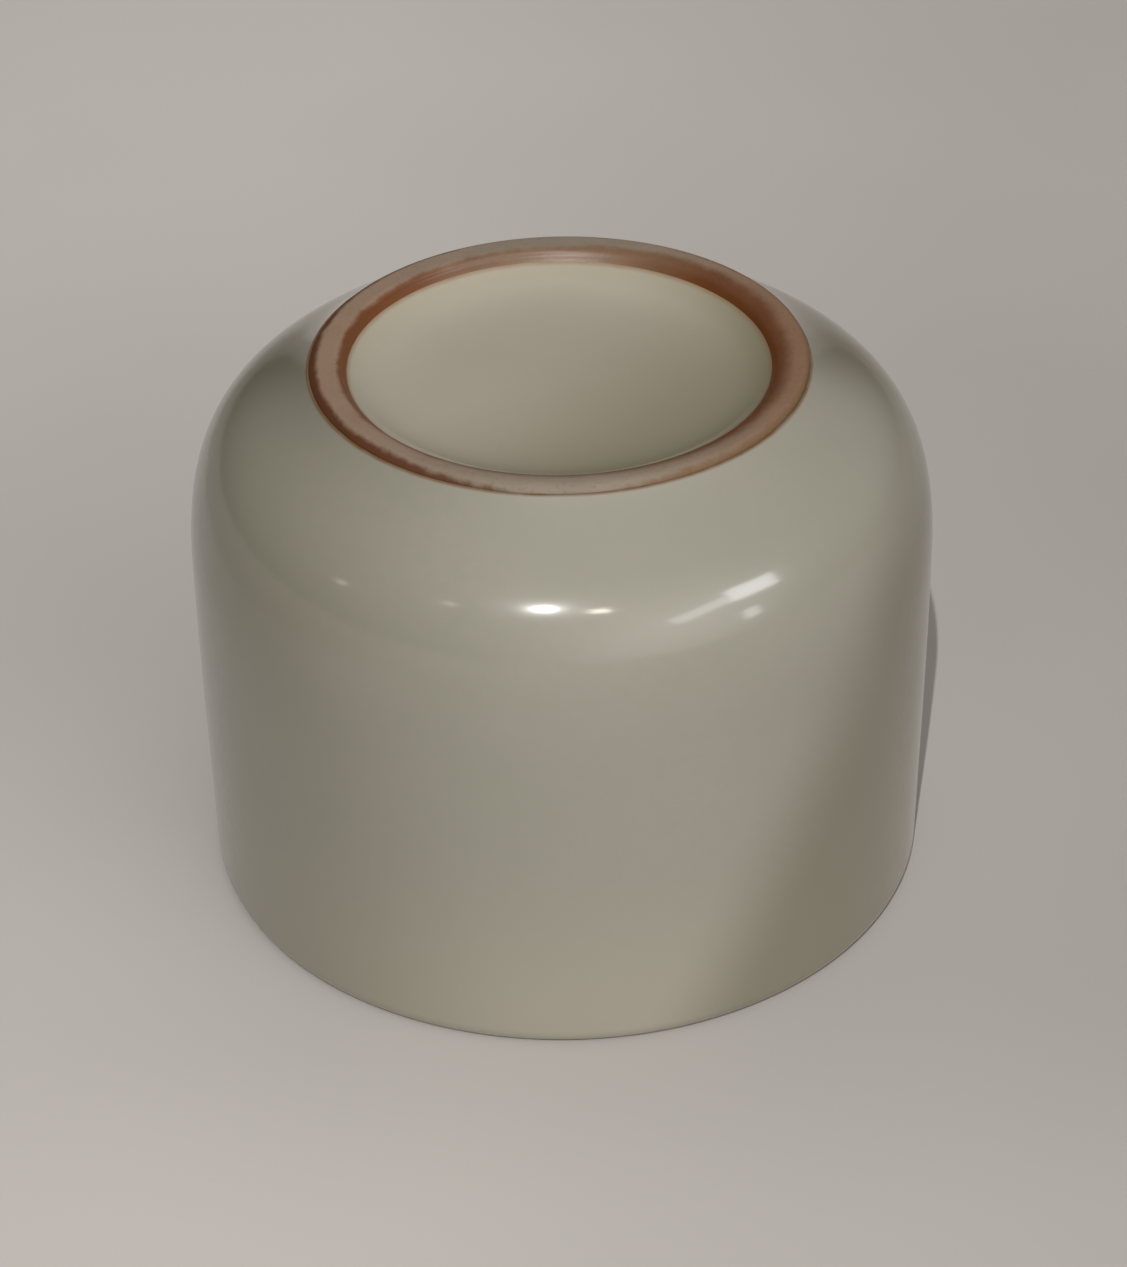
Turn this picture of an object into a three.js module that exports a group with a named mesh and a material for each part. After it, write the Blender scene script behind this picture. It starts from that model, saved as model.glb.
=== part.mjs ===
// A celadon tea bowl standing upside down on its rim, foot ring up, as it is put down to dry.
// Millimetres, +Z up. The origin is the centre of the circle on which the rim stands.
// Each piece is a turned solid: the thrown clay, its bare foot ring and the three coats of glaze on them.
import * as THREE from "three";

// Overall form
const bowlHeight = 61.2;
const bellyRadius = 40;
const bellyHeight = 38.6;
const rimRadius = 39.5;
const wallThickness = 3.6;
const lipLand = 0.5;
const floorThickness = 5.2;
const wellCornerHeight = 29;

// Foot ring
const footEdgeRadius = 26.6;
const footEdgeDrop = 0.8;
const footFaceOuterRadius = 25.85;
const footFaceInnerRadius = 23.85;
const footBoreRadius = 22.4;
const footBoreDrop = 1.2;
const footBevelStep = 0.25;
const recessDepth = 3.4;
const recessCornerRun = 7;

// Coats of glaze
const outerGlaze = 0.5;
const innerGlaze = 0.4;
const baseGlaze = 0.4;

// Fullness of the curves: how far each end holds its direction, as a share of the curve's own rise or run.
const wallLowerFullness = 0.33;
const wallUpperFullness = 0.47;
const wallSwell = 0.37;
const shoulderBellyFullness = 0.81;
const shoulderFootFullness = 0.63;
const wellWallFullness = 0.92;
const wellFloorFullness = 0.88;

// The slope at which the shoulder meets the foot ring
const shoulderSlope = THREE.MathUtils.degToRad(43);

// Facets
const turnSteps = 48;
const wallSteps = 6;
const shoulderSteps = 11;
const wellSteps = 12;
const lipSteps = 5;
const cornerSteps = 6;

const lipRadius = wallThickness / 2;
const crestRadius = rimRadius - lipRadius;
const footEdgeHeight = bowlHeight - footEdgeDrop;
const footBoreHeight = bowlHeight - footBoreDrop;
const recessHeight = bowlHeight - recessDepth;
const wellHeight = recessHeight - floorThickness;

const point = (radius, height) => new THREE.Vector2(radius, height);

// Half of the rounded lip, from its flat land out to the wall. The side is 1 outside and -1 inside.
function lipCurve(side) {
  const points = [];
  for (let i = 0; i <= lipSteps; i++) {
    const turn = (-Math.PI / 2) * (1 - i / lipSteps);
    const across = lipLand + (lipRadius - lipLand) * Math.cos(turn);
    points.push(point(crestRadius + side * across, lipRadius + lipRadius * Math.sin(turn)));
  }
  return points;
}

// The wall from the lip up to a height, inset from the outside of the bowl.
function wallCurve(inset, top) {
  const rise = top - lipRadius;
  const curve = new THREE.CubicBezierCurve(
    point(rimRadius - inset, lipRadius),
    point(rimRadius - inset + wallSwell * (bellyRadius - rimRadius), lipRadius + wallLowerFullness * rise),
    point(bellyRadius - inset, top - wallUpperFullness * rise),
    point(bellyRadius - inset, top),
  );
  return curve.getPoints(wallSteps).slice(1);
}

// The lip's outer half, the wall up to the belly and the shoulder up to the edge of the foot ring.
function outsideCurve() {
  const rise = footEdgeHeight - bellyHeight;
  const reach = shoulderFootFullness * (bellyRadius - footEdgeRadius);
  const shoulder = new THREE.CubicBezierCurve(
    point(bellyRadius, bellyHeight),
    point(bellyRadius, bellyHeight + shoulderBellyFullness * rise),
    point(footEdgeRadius + reach * Math.cos(shoulderSlope), footEdgeHeight - reach * Math.sin(shoulderSlope)),
    point(footEdgeRadius, footEdgeHeight),
  );
  return [...lipCurve(1), ...wallCurve(0, bellyHeight), ...shoulder.getPoints(shoulderSteps).slice(1)];
}

// The lip's inner half, the inside of the wall and the rounded well, in to the axis.
function insideCurve() {
  const wellRadius = bellyRadius - wallThickness;
  const rise = wellHeight - wellCornerHeight;
  const well = new THREE.CubicBezierCurve(
    point(wellRadius, wellCornerHeight),
    point(wellRadius, wellCornerHeight + wellWallFullness * rise),
    point(wellFloorFullness * wellRadius, wellHeight),
    point(0, wellHeight),
  );
  const points = [
    ...lipCurve(-1),
    ...wallCurve(wallThickness, wellCornerHeight),
    ...well.getPoints(wellSteps).slice(1),
  ];
  points[points.length - 1].x = 0;
  return points;
}

// The glazed recess inside the foot ring, from the axis over its soft corner to the glaze line on the ring.
function recessCurve() {
  const rise = footBoreHeight - recessHeight;
  const points = [point(0, recessHeight)];
  for (let i = 0; i <= cornerSteps; i++) {
    const turn = (Math.PI / 2) * (i / cornerSteps);
    points.push(
      point(
        footBoreRadius - recessCornerRun + recessCornerRun * Math.sin(turn),
        footBoreHeight - rise * Math.cos(turn),
      ),
    );
  }
  return points;
}

// A curve moved sideways by a distance, to the right of its direction where the distance is positive.
function offsetCurve(points, distance) {
  return points.map((p, i) => {
    const before = points[Math.max(i - 1, 0)];
    const after = points[Math.min(i + 1, points.length - 1)];
    const along = after.clone().sub(before).normalize();
    return point(p.x + along.y * distance, p.y - along.x * distance);
  });
}

function turned(name, profile, material) {
  const geometry = new THREE.LatheGeometry(profile, turnSteps);
  geometry.rotateX(Math.PI / 2);
  const mesh = new THREE.Mesh(geometry, material);
  mesh.name = name;
  return mesh;
}

const closed = (profile) => [...profile, profile[0].clone()];

const celadonGlaze = new THREE.MeshStandardMaterial({ color: 0xb3ad99, roughness: 0.12, metalness: 0 });
const bareClay = new THREE.MeshStandardMaterial({ color: 0x8a5a40, roughness: 0.7, metalness: 0 });
const greyClay = new THREE.MeshStandardMaterial({ color: 0xb5aa9a, roughness: 0.85, metalness: 0 });

const crest = point(crestRadius, 0);
const clayCrest = point(crestRadius, outerGlaze);
const outside = outsideCurve();
const inside = insideCurve();
const recess = recessCurve();

// The clay's own surfaces lie one coat of glaze below those that show.
const clayInside = offsetCurve(inside, innerGlaze);
clayInside[clayInside.length - 1] = point(0, wellHeight + innerGlaze);
const clayRecess = offsetCurve(recess, baseGlaze);
clayRecess[0] = point(0, recessHeight - baseGlaze);
clayRecess[1] = point(clayRecess[1].x, recessHeight - baseGlaze);

// The foot ring sits on the bowl at the level of the recess's clay floor.
const seatHeight = recessHeight - baseGlaze;
const clayOutside = [clayCrest, ...offsetCurve(outside, -outerGlaze)];
const seatIndex = clayOutside.findIndex((p) => p.y > seatHeight);
const belowSeat = clayOutside[seatIndex - 1];
const aboveSeat = clayOutside[seatIndex];
const seatShare = (seatHeight - belowSeat.y) / (aboveSeat.y - belowSeat.y);
const seatEdge = point(belowSeat.x + seatShare * (aboveSeat.x - belowSeat.x), seatHeight);
clayOutside.splice(seatIndex, 0, seatEdge);

// The ring's bare section: a bevel up to the face it stands on, the face, and a slope down into the bore.
const ringSection = [
  point(footEdgeRadius - footBevelStep, footEdgeHeight),
  point(footFaceOuterRadius + footBevelStep, bowlHeight - footBevelStep),
  point(footFaceOuterRadius, bowlHeight),
  point(footFaceInnerRadius, bowlHeight),
  point(footFaceInnerRadius - footBevelStep, bowlHeight - footBevelStep),
  point(footBoreRadius, footBoreHeight),
];

const bodyProfile = [
  point(0, wellHeight + innerGlaze),
  ...clayInside.slice(0, -1).reverse(),
  ...clayOutside.slice(0, seatIndex + 1),
  point(0, seatHeight),
];
const ringProfile = closed([
  ...clayOutside.slice(seatIndex),
  ...ringSection,
  ...clayRecess.slice(1).reverse(),
]);
const outerGlazeProfile = closed([crest, ...outside, ...clayOutside.slice().reverse()]);
const innerGlazeProfile = [...inside.slice().reverse(), crest, clayCrest, ...clayInside];
const baseGlazeProfile = [...clayRecess, ...recess.slice().reverse()];

const bowl = new THREE.Group();
bowl.add(
  turned("clay_body", bodyProfile, greyClay),
  turned("foot_ring", ringProfile, bareClay),
  turned("outer_glaze", outerGlazeProfile, celadonGlaze),
  turned("inner_glaze", innerGlazeProfile, celadonGlaze),
  turned("base_glaze", baseGlazeProfile, celadonGlaze),
);

export default bowl;
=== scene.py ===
# Celadon tea bowl, upside down on its rim, with its bare foot ring on top.
import bpy, math
from mathutils import Matrix, Vector


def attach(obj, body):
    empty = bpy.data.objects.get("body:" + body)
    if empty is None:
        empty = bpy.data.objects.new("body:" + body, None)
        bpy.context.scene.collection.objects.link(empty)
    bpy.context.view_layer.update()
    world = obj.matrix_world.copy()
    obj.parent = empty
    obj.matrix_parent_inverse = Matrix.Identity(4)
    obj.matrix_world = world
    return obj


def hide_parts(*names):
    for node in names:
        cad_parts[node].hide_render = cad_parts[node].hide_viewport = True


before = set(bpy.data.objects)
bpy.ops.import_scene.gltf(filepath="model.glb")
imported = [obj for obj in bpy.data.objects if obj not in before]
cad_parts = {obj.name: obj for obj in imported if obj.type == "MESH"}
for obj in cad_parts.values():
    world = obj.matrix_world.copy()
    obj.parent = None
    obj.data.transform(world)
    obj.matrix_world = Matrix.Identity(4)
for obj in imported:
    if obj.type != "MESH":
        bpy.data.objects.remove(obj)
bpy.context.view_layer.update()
print("frame loaded:", sorted(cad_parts))

mm = 0.001

# the thrown form in millimetres, as the solids have it, but with the recess as a shallow dish;
# the slope is in degrees, and a fullness or swell is a share of the curve's own rise or run
bowlForm = {
    "bowlHeight": 61.2, "bellyRadius": 40.0, "bellyHeight": 38.6, "rimRadius": 39.5,
    "wallThickness": 3.6, "lipLand": 0.5, "floorThickness": 5.2, "wellCornerHeight": 29.0,
    "footEdgeRadius": 26.6, "footEdgeHeight": 60.4, "footBoreRadius": 22.4, "footBoreHeight": 60.0,
    "recessHeight": 57.8, "recessFlatRadius": 9.0, "recessTurn": ((17.5, 0.0), (20.7, 0.4)), "shoulderSlope": 43.0,
    "wallLowerFullness": 0.33, "wallUpperFullness": 0.47, "wallSwell": 0.37,
    "shoulderBellyFullness": 0.81, "shoulderFootFullness": 0.63,
    "wellWallFullness": 0.92, "wellFloorFullness": 0.88,
}
lipRadius = bowlForm["wallThickness"] / 2
crestRadius = bowlForm["rimRadius"] - lipRadius
wellHeight = bowlForm["recessHeight"] - bowlForm["floorThickness"]

def linear(hexValue):
    # an sRGB hex value as linear red, green, blue and alpha
    channels = [int(hexValue[i:i + 2], 16) / 255 for i in (1, 3, 5)]
    return [c / 12.92 if c <= 0.04045 else ((c + 0.055) / 1.055) ** 2.4 for c in channels] + [1.0]

def bezier(a, b, c, d, steps):
    points = []
    for i in range(steps + 1):
        t = i / steps
        s = 1 - t
        points.append(tuple(s ** 3 * a[k] + 3 * s * s * t * b[k] + 3 * s * t * t * c[k] + t ** 3 * d[k]
                            for k in (0, 1)))
    return points

def lipCurve(side, steps):
    points = []
    for i in range(steps + 1):
        turn = -math.pi / 2 * (1 - i / steps)
        across = bowlForm["lipLand"] + (lipRadius - bowlForm["lipLand"]) * math.cos(turn)
        points.append((crestRadius + side * across, lipRadius + lipRadius * math.sin(turn)))
    return points

def wallCurve(inset, top, steps):
    f = bowlForm
    rise = top - lipRadius
    rim, belly = f["rimRadius"] - inset, f["bellyRadius"] - inset
    swell = rim + f["wallSwell"] * (belly - rim)
    return bezier((rim, lipRadius), (swell, lipRadius + f["wallLowerFullness"] * rise),
                  (belly, top - f["wallUpperFullness"] * rise), (belly, top), steps)[1:]

def outsideCurve(fineness):
    f = bowlForm
    rise = f["footEdgeHeight"] - f["bellyHeight"]
    reach = f["shoulderFootFullness"] * (f["bellyRadius"] - f["footEdgeRadius"])
    slope = math.radians(f["shoulderSlope"])
    shoulder = bezier((f["bellyRadius"], f["bellyHeight"]),
                      (f["bellyRadius"], f["bellyHeight"] + f["shoulderBellyFullness"] * rise),
                      (f["footEdgeRadius"] + reach * math.cos(slope),
                       f["footEdgeHeight"] - reach * math.sin(slope)),
                      (f["footEdgeRadius"], f["footEdgeHeight"]), 16 * fineness)
    return lipCurve(1, 4 * fineness) + wallCurve(0, f["bellyHeight"], 6 * fineness) + shoulder[1:]

def insideCurve(fineness):
    f = bowlForm
    radius = f["bellyRadius"] - f["wallThickness"]
    rise = wellHeight - f["wellCornerHeight"]
    well = bezier((radius, f["wellCornerHeight"]),
                  (radius, f["wellCornerHeight"] + f["wellWallFullness"] * rise),
                  (f["wellFloorFullness"] * radius, wellHeight), (0.0, wellHeight), 12 * fineness)
    wall = wallCurve(f["wallThickness"], f["wellCornerHeight"], 5 * fineness)
    return lipCurve(-1, 4 * fineness) + wall + well[1:]

def recessCurve(fineness):
    f = bowlForm
    low, high = f["recessHeight"], f["footBoreHeight"]
    floorEdge = f["recessFlatRadius"]
    flat = [(floorEdge * i / (2 * fineness), low) for i in range(2 * fineness)]
    turn = [(radius, low + lift) for radius, lift in f["recessTurn"]]
    return flat + bezier((floorEdge, low), *turn, (f["footBoreRadius"], high), 8 * fineness)

def offsetCurve(points, distance):
    moved = []
    for i, p in enumerate(points):
        before, after = points[max(i - 1, 0)], points[min(i + 1, len(points) - 1)]
        run, rise = after[0] - before[0], after[1] - before[1]
        length = math.hypot(run, rise)
        moved.append((p[0] + rise / length * distance, p[1] - run / length * distance))
    return moved

# kinds of node: type, settings, the inputs in the order in which values are given, and the output handed on
add, subtract, multiply, divide, power, maximum, absolute, cosine, sine, floorOf = (
    ("ShaderNodeMath", {"operation": operation}, (0, 1), 0) for operation in
    ("ADD", "SUBTRACT", "MULTIPLY", "DIVIDE", "POWER", "MAXIMUM", "ABSOLUTE", "COSINE", "SINE", "FLOOR"))
divideWithin, multiplyWithin = (   # the result kept between 0 and 1
    ("ShaderNodeMath", {"operation": operation, "use_clamp": True}, (0, 1), 0)
    for operation in ("DIVIDE", "MULTIPLY"))
timesAxes = ("ShaderNodeVectorMath", {"operation": "MULTIPLY"}, (0, 1), 0)
timesAll = ("ShaderNodeVectorMath", {"operation": "SCALE"}, (0, "Scale"), 0)
lengthOf = ("ShaderNodeVectorMath", {"operation": "LENGTH"}, (0,), "Value")
alongside = ("ShaderNodeVectorMath", {"operation": "DOT_PRODUCT"}, (0, 1), "Value")
splitAxes = ("ShaderNodeSeparateXYZ", {}, (0,), None)
joinAxes = ("ShaderNodeCombineXYZ", {}, (0, 1, 2), 0)
fade = ("ShaderNodeMapRange", {"interpolation_type": "SMOOTHSTEP"}, (0, 1, 2), 0)   # from 0 to 1 between two limits
mixTones = ("ShaderNodeMix", {"data_type": "RGBA"}, (0, 6, 7), 2)
mixShifts = ("ShaderNodeMix", {"data_type": "VECTOR"}, (0, 4, 5), 1)
addLight = ("ShaderNodeMix", {"data_type": "RGBA", "blend_type": "ADD"}, (0, 6, 7), 2)
noise = ("ShaderNodeTexNoise", {}, ("Vector", "Scale", "Detail", "Roughness"), 0)
bump = ("ShaderNodeBump", {}, ("Strength", "Distance", "Height"), 0)
objectPlace = ("ShaderNodeTexCoord", {}, (), "Object")
skyDirection = ("ShaderNodeTexCoord", {}, (), "Generated")

groupInputs = ("NodeGroupInput", {}, (), None)
groupOutput = ("NodeGroupOutput", {}, ("Piece",), None)
countPoints = ("GeometryNodeAttributeDomainSize", {"component": "MESH"}, ("Geometry",), "Point Count")
pointSheet = ("GeometryNodeMeshGrid", {}, ("Vertices X", "Vertices Y"), "Mesh")
pointIndex = ("GeometryNodeInputIndex", {}, (), 0)
pointPlace = ("GeometryNodeInputPosition", {}, (), 0)
readPoint = ("GeometryNodeSampleIndex", {"data_type": "FLOAT_VECTOR"}, ("Geometry", "Value", "Index"), "Value")
movePoints = ("GeometryNodeSetPosition", {}, ("Geometry", "Position", "Offset"), 0)
weldPoints = ("GeometryNodeMergeByDistance", {}, ("Geometry", "Distance"), 0)
smoothFaces = ("GeometryNodeSetShadeSmooth", {"domain": "FACE"}, ("Geometry",), 0)
smoothEdges = ("GeometryNodeSetShadeSmooth", {"domain": "EDGE"}, ("Geometry", "Selection", "Shade Smooth"), 0)
edgeAngle = ("GeometryNodeInputMeshEdgeAngle", {}, (), "Unsigned Angle")
greater = ("FunctionNodeCompare", {"data_type": "FLOAT", "operation": "GREATER_THAN"}, ("A", "B"), 0)
realize = ("GeometryNodeRealizeInstances", {}, ("Geometry",), 0)
giveMaterial = ("GeometryNodeSetMaterial", {}, ("Geometry", "Material"), 0)

def addNode(tree, kind, values=()):
    # each value goes to the kind's next input, as a link where it is the output of another node
    nodeType, settings, inputs, output = kind
    node = tree.nodes.new(nodeType)
    for name, setting in settings.items():
        setattr(node, name, setting)
    for name, value in zip(inputs, values):
        if isinstance(value, bpy.types.NodeSocket):
            tree.links.new(value, node.inputs[name])
        else:
            node.inputs[name].default_value = value
    return node.outputs if output is None else node.outputs[output]

def clouding(size, detail, roughness):
    # scale, detail and roughness of a noise, from the size of its clouds in millimetres
    return 1 / (size * mm), detail, roughness

def radiusAt(tree, place):
    # how far a place is from the axis of the bowl
    return addNode(tree, lengthOf, [addNode(tree, timesAxes, [place, (1.0, 1.0, 0.0)])])

# turning on the wheel: a section in the XZ plane becomes a closed turned piece
turning = {
    "steps": 256,
    "weld": 0.0005,              # mm
    "unevenness": 0.05,          # mm, how far the thrower's hand leaves the true circle, inwards only
    "unevennessSize": 30.0,      # mm
    "unevenFrom": 2.0,           # mm above the floor, between which it sets in: the rim stays true
    "unevenTo": 20.0,
    "hardEdge": 50.0,            # degrees
    "shiftFrom": 60.5,           # mm above the floor; the shifts of the ring's face grow from here to the top
    "innerShiftTo": 24.2,        # mm from the axis, where the inner shift gives way to the outer one
    "outerShiftFrom": 25.6,
}

def makeTurningTree():
    tree = bpy.data.node_groups.new("turned_on_the_wheel", "GeometryNodeTree")
    kinds = {"Section": "Geometry", "Turn Steps": "Int", "Weld": "Float", "Greatest Radius": "Float",
             "Unevenness": "Float", "Unevenness Size": "Float", "Uneven From": "Float", "Uneven To": "Float",
             "Hard Edge": "Float", "Outer Shift": "Vector", "Inner Shift": "Vector", "Shift From": "Float",
             "Shift To": "Float", "Inner Shift To": "Float", "Outer Shift From": "Float", "Finish": "Material"}
    for name, kind in kinds.items():
        tree.interface.new_socket(name, in_out="INPUT", socket_type="NodeSocket" + kind)
    tree.interface.new_socket("Piece", in_out="OUTPUT", socket_type="NodeSocketGeometry")
    size = addNode(tree, groupInputs)

    # a sheet of points, one column for each step of the turn, is laid on circles
    count = addNode(tree, countPoints, [size["Section"]])
    sheet = addNode(tree, pointSheet, [addNode(tree, add, [size["Turn Steps"], 1]), count])
    index = addNode(tree, pointIndex)
    column = addNode(tree, floorOf, [addNode(tree, divide, [addNode(tree, add, [index, 0.5]), count])])
    row = addNode(tree, subtract, [index, addNode(tree, multiply, [column, count])])
    place = addNode(tree, pointPlace)
    section = addNode(tree, splitAxes, [addNode(tree, readPoint, [size["Section"], place, row])])
    turnShare = addNode(tree, divide, [column, size["Turn Steps"]])
    angle = addNode(tree, multiply, [turnShare, 2 * math.pi])
    across = addNode(tree, multiply, [section["X"], addNode(tree, cosine, [angle])])
    away = addNode(tree, multiply, [section["X"], addNode(tree, sine, [angle])])
    turned = addNode(tree, movePoints, [sheet, addNode(tree, joinAxes, [across, away, section["Z"]])])
    merged = addNode(tree, weldPoints, [turned, size["Weld"]])

    # the slight wander of hand work: the same field for every piece, so that the coats stay on the clay
    scale = addNode(tree, divide, [1, size["Unevenness Size"]])
    field = addNode(tree, noise, [place, scale, 1.0])
    height = addNode(tree, splitAxes, [place])["Z"]
    setsIn = addNode(tree, fade, [height, size["Uneven From"], size["Uneven To"]])
    wander = addNode(tree, multiply, [addNode(tree, multiply, [field, size["Unevenness"]]), setsIn])
    keep = addNode(tree, subtract, [1, addNode(tree, divide, [wander, size["Greatest Radius"]])])
    uneven = addNode(tree, timesAxes, [place, addNode(tree, joinAxes, [keep, keep, 1.0])])

    # the two edges of the trimmed face lie a little off the centre of the ring, each its own way
    rise = addNode(tree, subtract, [height, size["Shift From"]])
    reach = addNode(tree, subtract, [size["Shift To"], size["Shift From"]])
    lift = addNode(tree, divideWithin, [rise, reach])
    outwards = addNode(tree, fade, [radiusAt(tree, place), size["Inner Shift To"], size["Outer Shift From"]])
    shift = addNode(tree, mixShifts, [outwards, size["Inner Shift"], size["Outer Shift"]])
    moved = addNode(tree, movePoints, [merged, uneven, addNode(tree, timesAll, [shift, lift])])

    smooth = addNode(tree, smoothFaces, [moved])
    hard = addNode(tree, greater, [addNode(tree, edgeAngle), size["Hard Edge"]])
    creased = addNode(tree, smoothEdges, [smooth, hard, False])
    real = addNode(tree, realize, [creased])
    addNode(tree, groupOutput, [addNode(tree, giveMaterial, [real, size["Finish"]])])
    return tree

turningTree = makeTurningTree()

def turnPiece(name, profile, material, outerShift=(0.0, 0.0, 0.0), innerShift=(0.0, 0.0, 0.0)):
    mesh = bpy.data.meshes.new(name + "_section")
    points = [(max(r, 0) * mm, 0, z * mm) for r, z in profile]
    mesh.from_pydata(points, [(i, i + 1) for i in range(len(points) - 1)], [])
    section = bpy.data.objects.new(name + "_section", mesh)
    bpy.context.collection.objects.link(section)
    modifier = section.modifiers.new("turning", "NODES")
    modifier.node_group = turningTree
    t = turning
    values = {
        "Turn Steps": t["steps"], "Weld": t["weld"] * mm, "Greatest Radius": bowlForm["bellyRadius"] * mm,
        "Unevenness": t["unevenness"] * mm, "Unevenness Size": t["unevennessSize"] * mm,
        "Uneven From": t["unevenFrom"] * mm, "Uneven To": t["unevenTo"] * mm,
        "Hard Edge": math.radians(t["hardEdge"]),
        "Outer Shift": [mm * way for way in outerShift], "Inner Shift": [mm * way for way in innerShift],
        "Shift From": t["shiftFrom"] * mm, "Shift To": bowlForm["bowlHeight"] * mm,
        "Inner Shift To": t["innerShiftTo"] * mm, "Outer Shift From": t["outerShiftFrom"] * mm,
        "Finish": material,
    }
    for item in turningTree.interface.items_tree:
        if item.in_out == "INPUT" and item.name in values:
            modifier[item.identifier] = values[item.name]
    turned = bpy.data.meshes.new_from_object(section.evaluated_get(bpy.context.evaluated_depsgraph_get()))
    bpy.data.objects.remove(section)
    turned.name = name
    piece = bpy.data.objects.new("turned_" + name, turned)
    bpy.context.collection.objects.link(piece)
    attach(piece, "root")
    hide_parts(name)
    print(name, "turned:", len(turned.polygons), "faces")
    return piece

# finishes
def newMaterial(name, plainValues):
    # the tree, its shader with the values that are the same all over, the place on the piece and its axes
    material = bpy.data.materials.new(name)
    material.use_nodes = True
    tree = material.node_tree
    shader = tree.nodes["Principled BSDF"]
    for socket, value in plainValues.items():
        shader.inputs[socket].default_value = value
    place = addNode(tree, objectPlace)
    return material, tree, shader, place, addNode(tree, splitAxes, [place])

glazeFinish = {
    "thin": "#8c7054",              # where the coat thins out and the clay shows through
    "thinnest": "#6a4c2e",
    "rim": "#a5a092",
    "rimShare": 0.7,
    "rimTop": 2.0,                  # mm above the floor, up to where the rim's tone is full
    "clouds": (30.0, 2.0, 0.5),     # size in mm, detail and roughness, here and in the other patterns
    "cloudFade": (0.2, 0.8),
    "mottle": (1.4, 3.0, 0.6),
    "mottleFade": (0.25, 0.75),
    "mottleShare": 0.4,
    "ragged": (2.5, 2.0, 0.5),
    "raggedLeast": 0.5,             # share of the clay's tone that a thin edge shows at least
    "raggedMore": 0.7,              # and how much the ragged pattern adds to it at most
    "shadeFade": 14.0,                # mm, over which the painted shade on the outside fades out upwards
    "ripple": (8.0, 1.0, 0.5),
    "fineRipple": (1.4, 1.0, 0.5),
    "fineShare": 0.06,
    "rippleHeight": 0.4,            # mm
    "rippleStrength": 0.12,
    "gloss": 0.9,
    "edgeDullness": 0.8,            # how much of the gloss goes at a thin edge
    "shader": {
        "IOR": 1.5, "Coat IOR": 1.5, "Coat Roughness": 0.11,
        "Roughness": 0.26,          # the milk: light scattered by the fine bubbles in the coat
        "Specular IOR Level": 0.12,
    },
}

def makeGlazeMaterial(name, thinEdges, coatLook):
    # Fired celadon: glossy, slightly milky glass over pale clay, warmer where it thins out at an edge.
    material, tree, shader, place, axes = newMaterial(name, glazeFinish["shader"])
    g = glazeFinish
    radius = radiusAt(tree, place)
    clouds = addNode(tree, noise, [place, *clouding(*g["clouds"])])
    pale, deep = [linear(tone) for tone in coatLook["tones"]]
    paled = addNode(tree, fade, [clouds, *g["cloudFade"]])
    colour = addNode(tree, mixTones, [paled, deep, pale])
    mottle = addNode(tree, noise, [place, *clouding(*g["mottle"])])
    spots = addNode(tree, multiply, [addNode(tree, fade, [mottle, *g["mottleFade"]]), g["mottleShare"]])
    colour = addNode(tree, mixTones, [spots, colour, deep])
    if "paleBelow" in coatLook:
        nearRim = addNode(tree, fade, [axes["Z"], coatLook["paleBelow"] * mm, g["rimTop"] * mm])
        nearRim = addNode(tree, multiply, [nearRim, g["rimShare"]])
        colour = addNode(tree, mixTones, [nearRim, colour, linear(g["rim"])])

    # painted shade: a dark tone mixed in towards the sides and back of the outside, and towards the near right of
    # the recess, which the ring's wall shades; in the well, darker towards the back
    for run in coatLook["darkenings"]:
        sideways = addNode(tree, alongside, [place, run["side"]])
        darkShare = addNode(tree, fade, [sideways, run["from"] * mm, run["to"] * mm])
        if "below" in run:
            low = addNode(tree, fade, [axes["Z"], (run["below"] + g["shadeFade"]) * mm, run["below"] * mm])
            darkShare = addNode(tree, multiply, [darkShare, low])
        darkShare = addNode(tree, multiply, [darkShare, run["share"]])
        colour = addNode(tree, mixTones, [darkShare, colour, linear(coatLook["darkTone"])])

    # thin edges let the clay through and shine less
    gloss = g["gloss"]
    if "dull" in coatLook:
        gloss = addNode(tree, multiply, [gloss, addNode(tree, fade, [radius, *[r * mm for r in coatLook["dull"]]])])
    for measure, start, end, tone in thinEdges:
        edge = addNode(tree, fade, [radius if measure == "radius" else axes["Z"], start * mm, end * mm])
        ragged = addNode(tree, noise, [place, *clouding(*g["ragged"])])
        ragged = addNode(tree, add, [g["raggedLeast"], addNode(tree, multiply, [ragged, g["raggedMore"]])])
        share = addNode(tree, multiplyWithin, [edge, ragged])
        colour = addNode(tree, mixTones, [share, colour, linear(g[tone])])
        kept = addNode(tree, subtract, [1.0, addNode(tree, multiply, [edge, g["edgeDullness"]])])
        gloss = addNode(tree, multiply, [gloss, kept])
    tree.links.new(colour, shader.inputs["Base Color"])
    tree.links.new(gloss, shader.inputs["Coat Weight"])

    wide = addNode(tree, noise, [place, *clouding(*g["ripple"])])
    fine = addNode(tree, noise, [place, *clouding(*g["fineRipple"])])
    ripple = addNode(tree, add, [wide, addNode(tree, multiply, [fine, g["fineShare"]])])
    normal = addNode(tree, bump, [g["rippleStrength"], g["rippleHeight"] * mm, ripple])
    tree.links.new(normal, shader.inputs["Normal"])
    tree.links.new(normal, shader.inputs["Coat Normal"])
    return material

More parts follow.
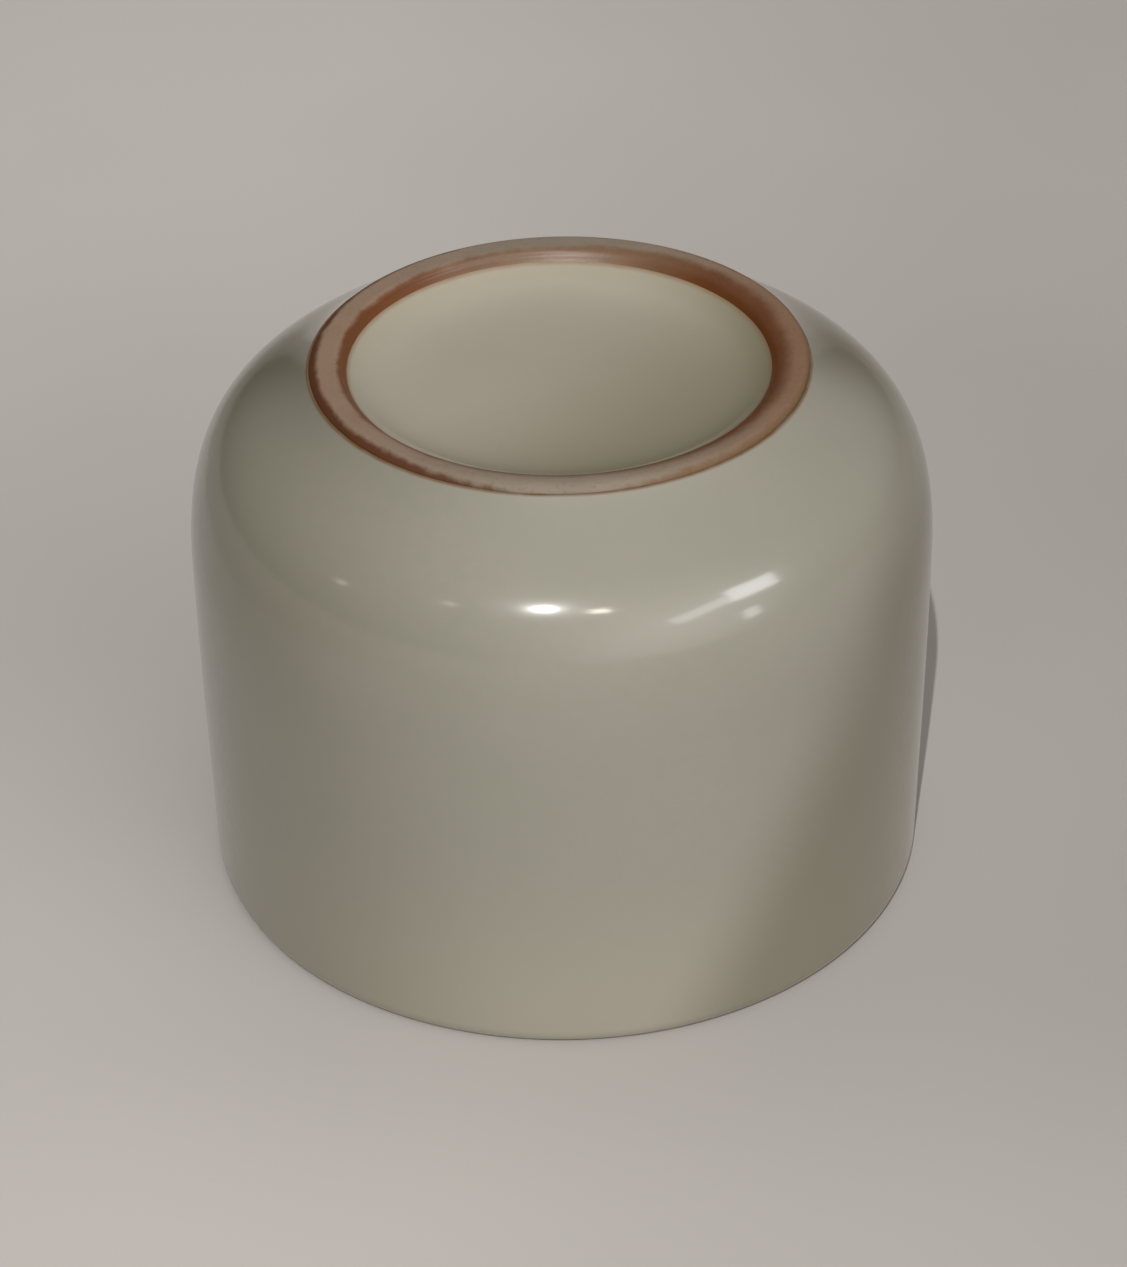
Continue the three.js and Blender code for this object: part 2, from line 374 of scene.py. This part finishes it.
footClayFinish = {
    "wornLeft": "#8a725f",          # the face it stands on, rubbed to a greyish pink
    "wornRight": "#7d5f49",
    "sheenGrey": "#84796b",          # painted reflection: greyer at the front and back, where the face catches the room at a grazing angle
    "greyPower": 3,                 # how closely the grey keeps to the front and back
    "flashLeftLit": "#6c401f",         # red-brown where the bare clay met the fire, with painted shade: darker at the right, where the inner flank faces away from the light
    "flashRightShaded": "#603718",
    "flashFade": (-0.7, 0.7),       # from the left, -1, to the right, 1
    "flashLitEnds": "#72573f",         # painted light: paler at the front and back, as where the far flank faces the lamp
    "litEndsFade": (0.7, 1.0),
    "litEndsShare": 0.9,
    "outerFlashInShade": "#542d0e",         # on the outer flank at the left: painted shade where it faces away from the light, over the fired red-brown
    "flashOchre": "#70563a",
    "ochreFade": (-0.25, 0.25),
    # edges of the rubbed zone, each a circle a little off centre: radius, centre X and Y, in mm
    "outerEdge": ((25.45, 0.25, 0.0), (26.1, 0.2, 0.0)),
    "outerSwell": 0.9,              # mm more at the very front and back
    "outerSwellPower": 16,
    "innerEdge": ((24.35, 0.7, -0.3), (23.1, 0.15, 0.0)),
    "innerSwell": 1.3,              # mm more at the far right, where the dark flash spreads over the face's inner rounding as painted shade
    "grit": (0.45, 3.0, 0.65),
    "gritFade": (0.55, 0.7),
    "gritShare": 0.16,
    "patches": (5.0, 3.0, 0.6),
    "patchTone": 0.35,
    "patchWander": 0.9,             # mm, how far the patches push the edges of the rubbed zone
    "ragged": (1.3, 2.0, 0.5),
    "raggedWander": 0.6,
    "roughness": 0.72,
    "outerSheen": 0.05,             # what a sheen takes off the roughness
    "innerSheen": 0.32,             # towards the recess, where the glaze's vapour reached the clay
    "sheenFade": (23.9, 22.7),      # mm from the axis
    "gritHeight": 0.2,              # mm
    "gritStrength": 0.35,
    "gritSmoothed": 0.27,           # what the sheen takes off that strength
}

def makeFootClayMaterial(name):
    # Bare stoneware that the fire turned red-brown, rubbed paler on the face it stands on; its flanks carry painted
    # shade on the sides that face away from the light, and painted light and a painted reflection at the front and
    # back.
    material, tree, shader, place, axes = newMaterial(name, {})
    c = footClayFinish
    radius = radiusAt(tree, place)
    grit = addNode(tree, noise, [place, *clouding(*c["grit"])])
    patch = addNode(tree, noise, [place, *clouding(*c["patches"])])
    patch = addNode(tree, subtract, [patch, 0.5])   # a noise lies around a half
    ragged = addNode(tree, noise, [place, *clouding(*c["ragged"])])
    ragged = addNode(tree, subtract, [ragged, 0.5])
    wander = addNode(tree, add, [addNode(tree, multiply, [patch, c["patchWander"] * mm]),
                                 addNode(tree, multiply, [ragged, c["raggedWander"] * mm])])
    sideways = addNode(tree, divide, [axes["X"], radius])
    endways = addNode(tree, divide, [axes["Y"], radius])
    toEnds = addNode(tree, absolute, [endways])
    atEnds = addNode(tree, power, [toEnds, c["outerSwellPower"]])
    atFarRight = addNode(tree, multiply, [addNode(tree, maximum, [sideways, 0.0]),
                                          addNode(tree, maximum, [endways, 0.0])])

    def zone(edge, swell, swellSize):
        # 0 at the first circle and 1 at the second
        marks = []
        for size, centreX, centreY in edge:
            shift = addNode(tree, add, [addNode(tree, multiply, [sideways, centreX * mm]),
                                        addNode(tree, multiply, [endways, centreY * mm])])
            swelling = addNode(tree, multiply, [swell, swellSize * mm])
            marks.append(addNode(tree, add, [addNode(tree, add, [shift, size * mm]), swelling]))
        across = addNode(tree, subtract, [addNode(tree, add, [radius, wander]), marks[0]])
        run = addNode(tree, subtract, [marks[1], marks[0]])
        return addNode(tree, fade, [addNode(tree, divide, [across, run]), 0.0, 1.0])

    outer = zone(c["outerEdge"], atEnds, c["outerSwell"])
    inner = zone(c["innerEdge"], atFarRight, c["innerSwell"])
    toRight = addNode(tree, fade, [sideways, -1.0, 1.0])
    wornAndSheen = addNode(tree, mixTones, [toRight, linear(c["wornLeft"]), linear(c["wornRight"])])
    # painted reflection: the grey mixed in towards the front and back
    sheenShare = addNode(tree, power, [toEnds, c["greyPower"]])
    wornAndSheen = addNode(tree, mixTones, [sheenShare, wornAndSheen, linear(c["sheenGrey"])])
    # painted shade and light: the flash darker at the right and paler at the front and back
    toRight = addNode(tree, fade, [sideways, *c["flashFade"]])
    flashLitAndShaded = addNode(tree, mixTones, [toRight, linear(c["flashLeftLit"]), linear(c["flashRightShaded"])])
    paled = addNode(tree, multiply, [addNode(tree, fade, [toEnds, *c["litEndsFade"]]), c["litEndsShare"]])
    flashLitAndShaded = addNode(tree, mixTones, [paled, flashLitAndShaded, linear(c["flashLitEnds"])])
    colour = addNode(tree, mixTones, [inner, wornAndSheen, flashLitAndShaded])
    # painted shade: the outer flank dark at the left, ochre at the right
    toRight = addNode(tree, fade, [sideways, *c["ochreFade"]])
    flank = addNode(tree, mixTones, [toRight, linear(c["outerFlashInShade"]), linear(c["flashOchre"])])
    colour = addNode(tree, mixTones, [outer, colour, flank])

    shade = addNode(tree, add, [1.0, addNode(tree, multiply, [patch, c["patchTone"]])])
    specks = addNode(tree, multiply, [addNode(tree, fade, [grit, *c["gritFade"]]), c["gritShare"]])
    tone = addNode(tree, subtract, [shade, specks])
    tree.links.new(addNode(tree, timesAll, [colour, tone]), shader.inputs["Base Color"])
    sheen = addNode(tree, fade, [radius, *[r * mm for r in c["sheenFade"]]])
    roughness = addNode(tree, subtract, [c["roughness"], addNode(tree, multiply, [outer, c["outerSheen"]])])
    roughness = addNode(tree, subtract, [roughness, addNode(tree, multiply, [sheen, c["innerSheen"]])])
    tree.links.new(roughness, shader.inputs["Roughness"])
    strength = addNode(tree, subtract, [c["gritStrength"], addNode(tree, multiply, [sheen, c["gritSmoothed"]])])
    normal = addNode(tree, bump, [strength, c["gritHeight"] * mm, grit])
    tree.links.new(normal, shader.inputs["Normal"])
    return material

biscuitFinish = {
    "pale": "#b5aa9a", "speck": "#8f8474",
    "grain": (0.8, 4.0, 0.65),
    "speckFade": (0.5, 0.7),
    "grainHeight": 0.2,             # mm
    "grainStrength": 0.3,
    "shader": {"Roughness": 0.85},
}

def makeBiscuitMaterial(name):
    # The fired clay under the coats of glaze: pale grey stoneware with fine dark specks.
    material, tree, shader, place, axes = newMaterial(name, biscuitFinish["shader"])
    b = biscuitFinish
    grain = addNode(tree, noise, [place, *clouding(*b["grain"])])
    specks = addNode(tree, fade, [grain, *b["speckFade"]])
    colour = addNode(tree, mixTones, [specks, linear(b["pale"]), linear(b["speck"])])
    tree.links.new(colour, shader.inputs["Base Color"])
    normal = addNode(tree, bump, [b["grainStrength"], b["grainHeight"] * mm, grain])
    tree.links.new(normal, shader.inputs["Normal"])
    return material

# each coat's pale and deep tones, and its darkenings, where a dark tone is mixed in: painted shade on the outside
# and in the recess, darker towards the back in the well. A darkening is measured in mm along its side vector from
# the bowl's origin, and sets in between two such measures. "below" is the height under which it lies in full,
# and "dull" the radii between which the gloss sets in.
coatLooks = {
    # painted shade: darker at the left and right sides and at the back, where the light falls off
    "outside": {"tones": ("#98968c", "#929185"), "darkTone": "#6f6b57", "paleBelow": 26.0, "darkenings": [
        {"side": (-1.0, 0.0, 0.0), "from": 2.0, "to": 30.0, "share": 0.35},
        {"side": (-1.0, 0.0, 0.8), "from": 54.0, "to": 74.0, "below": 42.0, "share": 0.35},
        {"side": (1.0, 0.0, -0.45), "from": 6.0, "to": 20.0, "share": 0.68},
        {"side": (1.0, 0.0, 0.2), "from": 38.0, "to": 46.0, "below": 38.0, "share": 0.7},
        {"side": (0.0, 1.0, 0.0), "from": -6.0, "to": 10.0, "share": 0.8}]},
    "well": {"tones": ("#979286", "#918d80"), "darkTone": "#817e6f", "darkenings": [
        {"side": (0.0, 1.0, 0.0), "from": -20.0, "to": 20.0, "share": 0.4}]},
    # painted shade: darker towards the near right, where the ring's wall shades the recess
    "recess": {"tones": ("#a8a395", "#a39e8f"), "darkTone": "#87826e", "dull": (22.0, 19.5), "darkenings": [
        {"side": (0.8, -0.6, 0.0), "from": -8.0, "to": 18.0, "share": 1.0}]},
}
# where each coat thins out: measured by radius or height, from and to in mm, and its tone there
thinned = {
    "outside": [("radius", 26.78, 26.5, "thinnest"), ("height", 0.7, 0.1, "thin")],
    "well": [("height", 0.7, 0.1, "thin")],
    "recess": [("radius", 21.9, 22.5, "thin")],
}

# the sections of the five pieces
coats = {
    "outer": 0.5, "inner": 0.4, "base": 0.4,   # mm
    "showing": 4, "hidden": 1,                 # fineness of the curves that show and of those under a coat
}
outside, clayOutside = outsideCurve(coats["showing"]), offsetCurve(outsideCurve(coats["hidden"]), -coats["outer"])
inside, clayInside = insideCurve(coats["showing"]), offsetCurve(insideCurve(coats["hidden"]), coats["inner"])
recess, clayRecess = recessCurve(coats["showing"]), offsetCurve(recessCurve(coats["hidden"]), coats["base"])
clayCrest = (crestRadius, coats["outer"])
seatHeight = bowlForm["recessHeight"] - coats["base"]
clayOutside = [clayCrest] + clayOutside[1:]
clayInside = clayInside[:-1] + [(0.0, wellHeight + coats["inner"])]
clayRecess = [(r, max(z, seatHeight)) for r, z in clayRecess]
clayRecess[0] = (0.0, seatHeight)
ringInner = clayRecess[sum(1 for p in clayRecess if p[1] <= seatHeight) - 1:]
seatIndex = next(i for i, p in enumerate(clayOutside) if p[1] > seatHeight)
below, above = clayOutside[seatIndex - 1], clayOutside[seatIndex]
seatShare = (seatHeight - below[1]) / (above[1] - below[1])
seatEdge = (below[0] + seatShare * (above[0] - below[0]), seatHeight)
clayOutside.insert(seatIndex, seatEdge)

# the bare ring: a steep outer flank, the flat face it stands on, and a long inner flank down to the glaze
ringForm = {
    "outerFlank": ((26.36, 60.4), (26.3, 60.86), (25.95, 61.2), (25.35, 61.2)),
    "innerFlank": ((24.45, 61.2), (23.75, 61.2), (23.05, 60.8), (22.4, 60.0)),
    "flankSteps": 14,
    "faceSteps": 4,
    "outerShift": (0.3, 0.25, 0.0),     # mm; the potter trimmed the face a little off centre
    "innerShift": (0.5, -0.45, 0.0),
    "glazeBead": ((26.55, 60.455), (26.47, 60.475), (26.38, 60.46), (26.31, 60.38)),
}
faceStart, faceEnd = ringForm["outerFlank"][-1], ringForm["innerFlank"][0]
faceStep = (faceEnd[0] - faceStart[0]) / ringForm["faceSteps"]
face = [(faceStart[0] + faceStep * i, faceStart[1]) for i in range(1, ringForm["faceSteps"])]
outerFlank = bezier(*ringForm["outerFlank"], ringForm["flankSteps"])
innerFlank = bezier(*ringForm["innerFlank"], ringForm["flankSteps"])

outerCoat = outside + list(ringForm["glazeBead"]) + clayOutside[::-1]
ring = clayOutside[seatIndex:] + outerFlank + face + innerFlank + ringInner[::-1]
body = [(0.0, wellHeight + coats["inner"])] + clayInside[:-1][::-1]
body += clayOutside[:seatIndex + 1] + [(0.0, seatHeight)]
turnPiece("clay_body", body, makeBiscuitMaterial("stoneware_biscuit"))
turnPiece("foot_ring", ring + ring[:1], makeFootClayMaterial("bare_foot_stoneware"),
          ringForm["outerShift"], ringForm["innerShift"])
turnPiece("outer_glaze", outerCoat + outerCoat[:1],
          makeGlazeMaterial("celadon_glaze_outside", thinned["outside"], coatLooks["outside"]))
turnPiece("inner_glaze", inside[::-1] + [clayCrest] + clayInside,
          makeGlazeMaterial("celadon_glaze_well", thinned["well"], coatLooks["well"]))
turnPiece("base_glaze", clayRecess + recess[::-1],
          makeGlazeMaterial("celadon_glaze_recess", thinned["recess"], coatLooks["recess"]))
print("five pieces turned and glazed")

# camera
view = {
    "focalPixels": 3825.0,        # the photograph's focal length, in its own pixels
    "longSidePixels": 1267.0,
    "sensor": 36.0,               # mm
    "distance": 0.42194,          # metres from the point looked at
    "elevation": 34.32,           # degrees above the floor
    "roll": -0.927,
    "lookAtHeight": 0.02566,
}

def makeCamera():
    angle = math.radians(view["elevation"])
    target = Vector((0, 0, view["lookAtHeight"]))
    back = Vector((0, -math.cos(angle), math.sin(angle)))
    camera = bpy.data.objects.new("camera", bpy.data.cameras.new("camera"))
    bpy.context.collection.objects.link(camera)
    camera.data.sensor_width = view["sensor"]
    camera.data.lens = view["sensor"] * view["focalPixels"] / view["longSidePixels"]
    camera.location = target + back * view["distance"]
    turn = (-back).to_track_quat("-Z", "Y").to_matrix().to_4x4()
    roll = Matrix.Rotation(math.radians(view["roll"]), 4, "Z")
    camera.matrix_world = Matrix.Translation(camera.location) @ turn @ roll
    bpy.context.scene.camera = camera

# the plain pale floor, a little lighter around the bowl; lengths in millimetres
floorLook = {
    "tone": "#c9c6c4",
    "shaded": "#403d3a",          # mixed in faintly
    "outerTone": "#a8a4a1",
    # the edges of the lighter part: the axis, the place on it and the way inwards
    "edges": (("X", -145.0, 1), ("X", 180.0, -1), ("Y", -120.0, 1), ("Y", 600.0, -1)),
    "edgeSoftness": 20.0,
    "clouds": (90.0, 2.0, 0.5),
    "cloudFade": (0.2, 0.8),
    "cloudShare": 0.06,
    # painted light and shade: the axis, from and to on it, and how much of the shaded tone is added (negative makes
    # lighter); darker to the right, lighter at the back and at the front
    "paintedShades": (("X", -50.0, 80.0, 0.2), ("Y", 40.0, 200.0, -0.12), ("Y", -70.0, -30.0, 0.09)),
    "shader": {"Roughness": 0.75, "Specular IOR Level": 0.2},
    "size": 6.0,                  # metres
}

def makeFloor():
    bpy.ops.mesh.primitive_plane_add(size=floorLook["size"], location=(0, 0, 0))
    floor = bpy.context.object
    floor.name = "floor"
    material, tree, shader, place, axes = newMaterial("pale_floor", floorLook["shader"])
    share = 1.0
    for axis, edge, inwards in floorLook["edges"]:
        soft = inwards * floorLook["edgeSoftness"]
        within = addNode(tree, fade, [axes[axis], (edge - soft) * mm, (edge + soft) * mm])
        share = addNode(tree, multiply, [share, within])
    clouds = addNode(tree, noise, [place, *clouding(*floorLook["clouds"])])
    clouds = addNode(tree, fade, [clouds, *floorLook["cloudFade"]])
    shade = addNode(tree, multiply, [clouds, floorLook["cloudShare"]])
    # painted light and shade across the floor
    for axis, start, end, most in floorLook["paintedShades"]:
        falling = addNode(tree, fade, [axes[axis], start * mm, end * mm])
        shade = addNode(tree, add, [shade, addNode(tree, multiply, [falling, most])])
    middle = addNode(tree, mixTones, [shade, linear(floorLook["tone"]), linear(floorLook["shaded"])])
    colour = addNode(tree, mixTones, [share, linear(floorLook["outerTone"]), middle])
    tree.links.new(colour, shader.inputs["Base Color"])
    floor.data.materials.append(material)

# Azimuth 0 is away from the camera and 90 is to the right; distances and sizes in metres, power in watts.
# The small lamps only give the glaze its lights; the main lamp and the soft lights light the colours.
lampAim = Vector((0, 0, 0.04))
lamps = {
    "main": {"azimuth": -173.4, "elevation": 47.4, "distance": 1.75, "size": (0.012, 0.045),
             "power": 19.0, "colour": "#fffdf8", "glossOnly": False},
    "second": {"azimuth": 167.9, "elevation": 43.8, "distance": 2.0, "size": (0.17, 0.14),
               "power": 1.7, "colour": "#fff5e8"},
    "streakTail": {"azimuth": 137.0, "elevation": 25.5, "distance": 1.2, "size": (0.42, 0.14),
                   "power": 0.8, "colour": "#f4f4fb", "lean": 18.0},
    "streakHead": {"azimuth": 118.0, "elevation": 29.0, "distance": 1.2, "size": (0.3, 0.24),
                   "power": 2.0, "colour": "#f4f4fb", "lean": -5.0},
    "dot": {"azimuth": 124.0, "elevation": 10.6, "distance": 1.2, "size": (0.1, 0.15),
            "power": 0.3, "colour": "#f4f4fb"},
    "glintLeft": {"azimuth": -107.0, "elevation": 25.0, "distance": 1.2, "size": (0.06, 0.07),
                  "power": 0.06, "colour": "#fff5e8"},
    "glintFront": {"azimuth": -140.0, "elevation": 41.0, "distance": 1.2, "size": (0.06, 0.07),
                   "power": 0.06, "colour": "#fff5e8"},
}
# azimuth, elevation, strength and colour of each
softLights = {
    "lowRight": (138.0, 14.0, 1.10, "#fff9f5"),
    "highRight": (134.0, 40.0, 0.76, "#fff9f5"),
    "lowFront": (162.0, 12.0, 1.10, "#fff6ef"),
    "topFront": (180.0, 68.0, 0.41, "#fff6ef"),
    "lowBackRight": (60.0, 12.0, 0.22, "#fff6ef"),
    "topBackRight": (60.0, 68.0, 0.16, "#fff6ef"),
    "back": (0.0, 40.0, 0.23, "#fff6ef"),
    "topBack": (0.0, 68.0, 0.84, "#fff6ef"),
}
softLightNarrowness = 10.0        # the higher, the smaller each soft light

def direction(azimuth, elevation):
    a, e = math.radians(azimuth), math.radians(elevation)
    return Vector((math.cos(e) * math.sin(a), math.cos(e) * math.cos(a), math.sin(e)))

def makeLamps():
    for name, lamp in lamps.items():
        light = bpy.data.lights.new("lamp_" + name, "AREA")
        light.shape = "RECTANGLE"
        light.size, light.size_y = lamp["size"]
        light.energy = lamp["power"]
        light.color = linear(lamp["colour"])[:3]
        holder = bpy.data.objects.new("lamp_" + name, light)
        towards = direction(lamp["azimuth"], lamp["elevation"])
        holder.location = lampAim + towards * lamp["distance"]
        lean = Matrix.Rotation(math.radians(lamp.get("lean", 0)), 3, "Z").to_quaternion()
        holder.rotation_mode = "QUATERNION"
        holder.rotation_quaternion = (-towards).to_track_quat("-Z", "Y") @ lean
        holder.visible_camera = False
        holder.visible_diffuse = not lamp.get("glossOnly", True)
        bpy.context.collection.objects.link(holder)

def makeSoftLight():
    world = bpy.data.worlds.new("studio")
    bpy.context.scene.world = world
    world.use_nodes = True
    tree = world.node_tree
    towards = addNode(tree, skyDirection)
    light = [0.0, 0.0, 0.0, 1.0]
    for azimuth, elevation, strength, tone in softLights.values():
        facing = addNode(tree, alongside, [towards, direction(azimuth, elevation)])
        share = addNode(tree, power, [addNode(tree, maximum, [facing, 0.0]), softLightNarrowness])
        colour = [channel * strength for channel in linear(tone)[:3]] + [1.0]
        light = addNode(tree, addLight, [share, light, colour])
    tree.links.new(light, tree.nodes["Background"].inputs["Color"])

makeCamera()
makeFloor()
makeLamps()
makeSoftLight()
bpy.context.scene.view_settings.view_transform = "Standard"
print("camera, floor, lamps and soft light made")
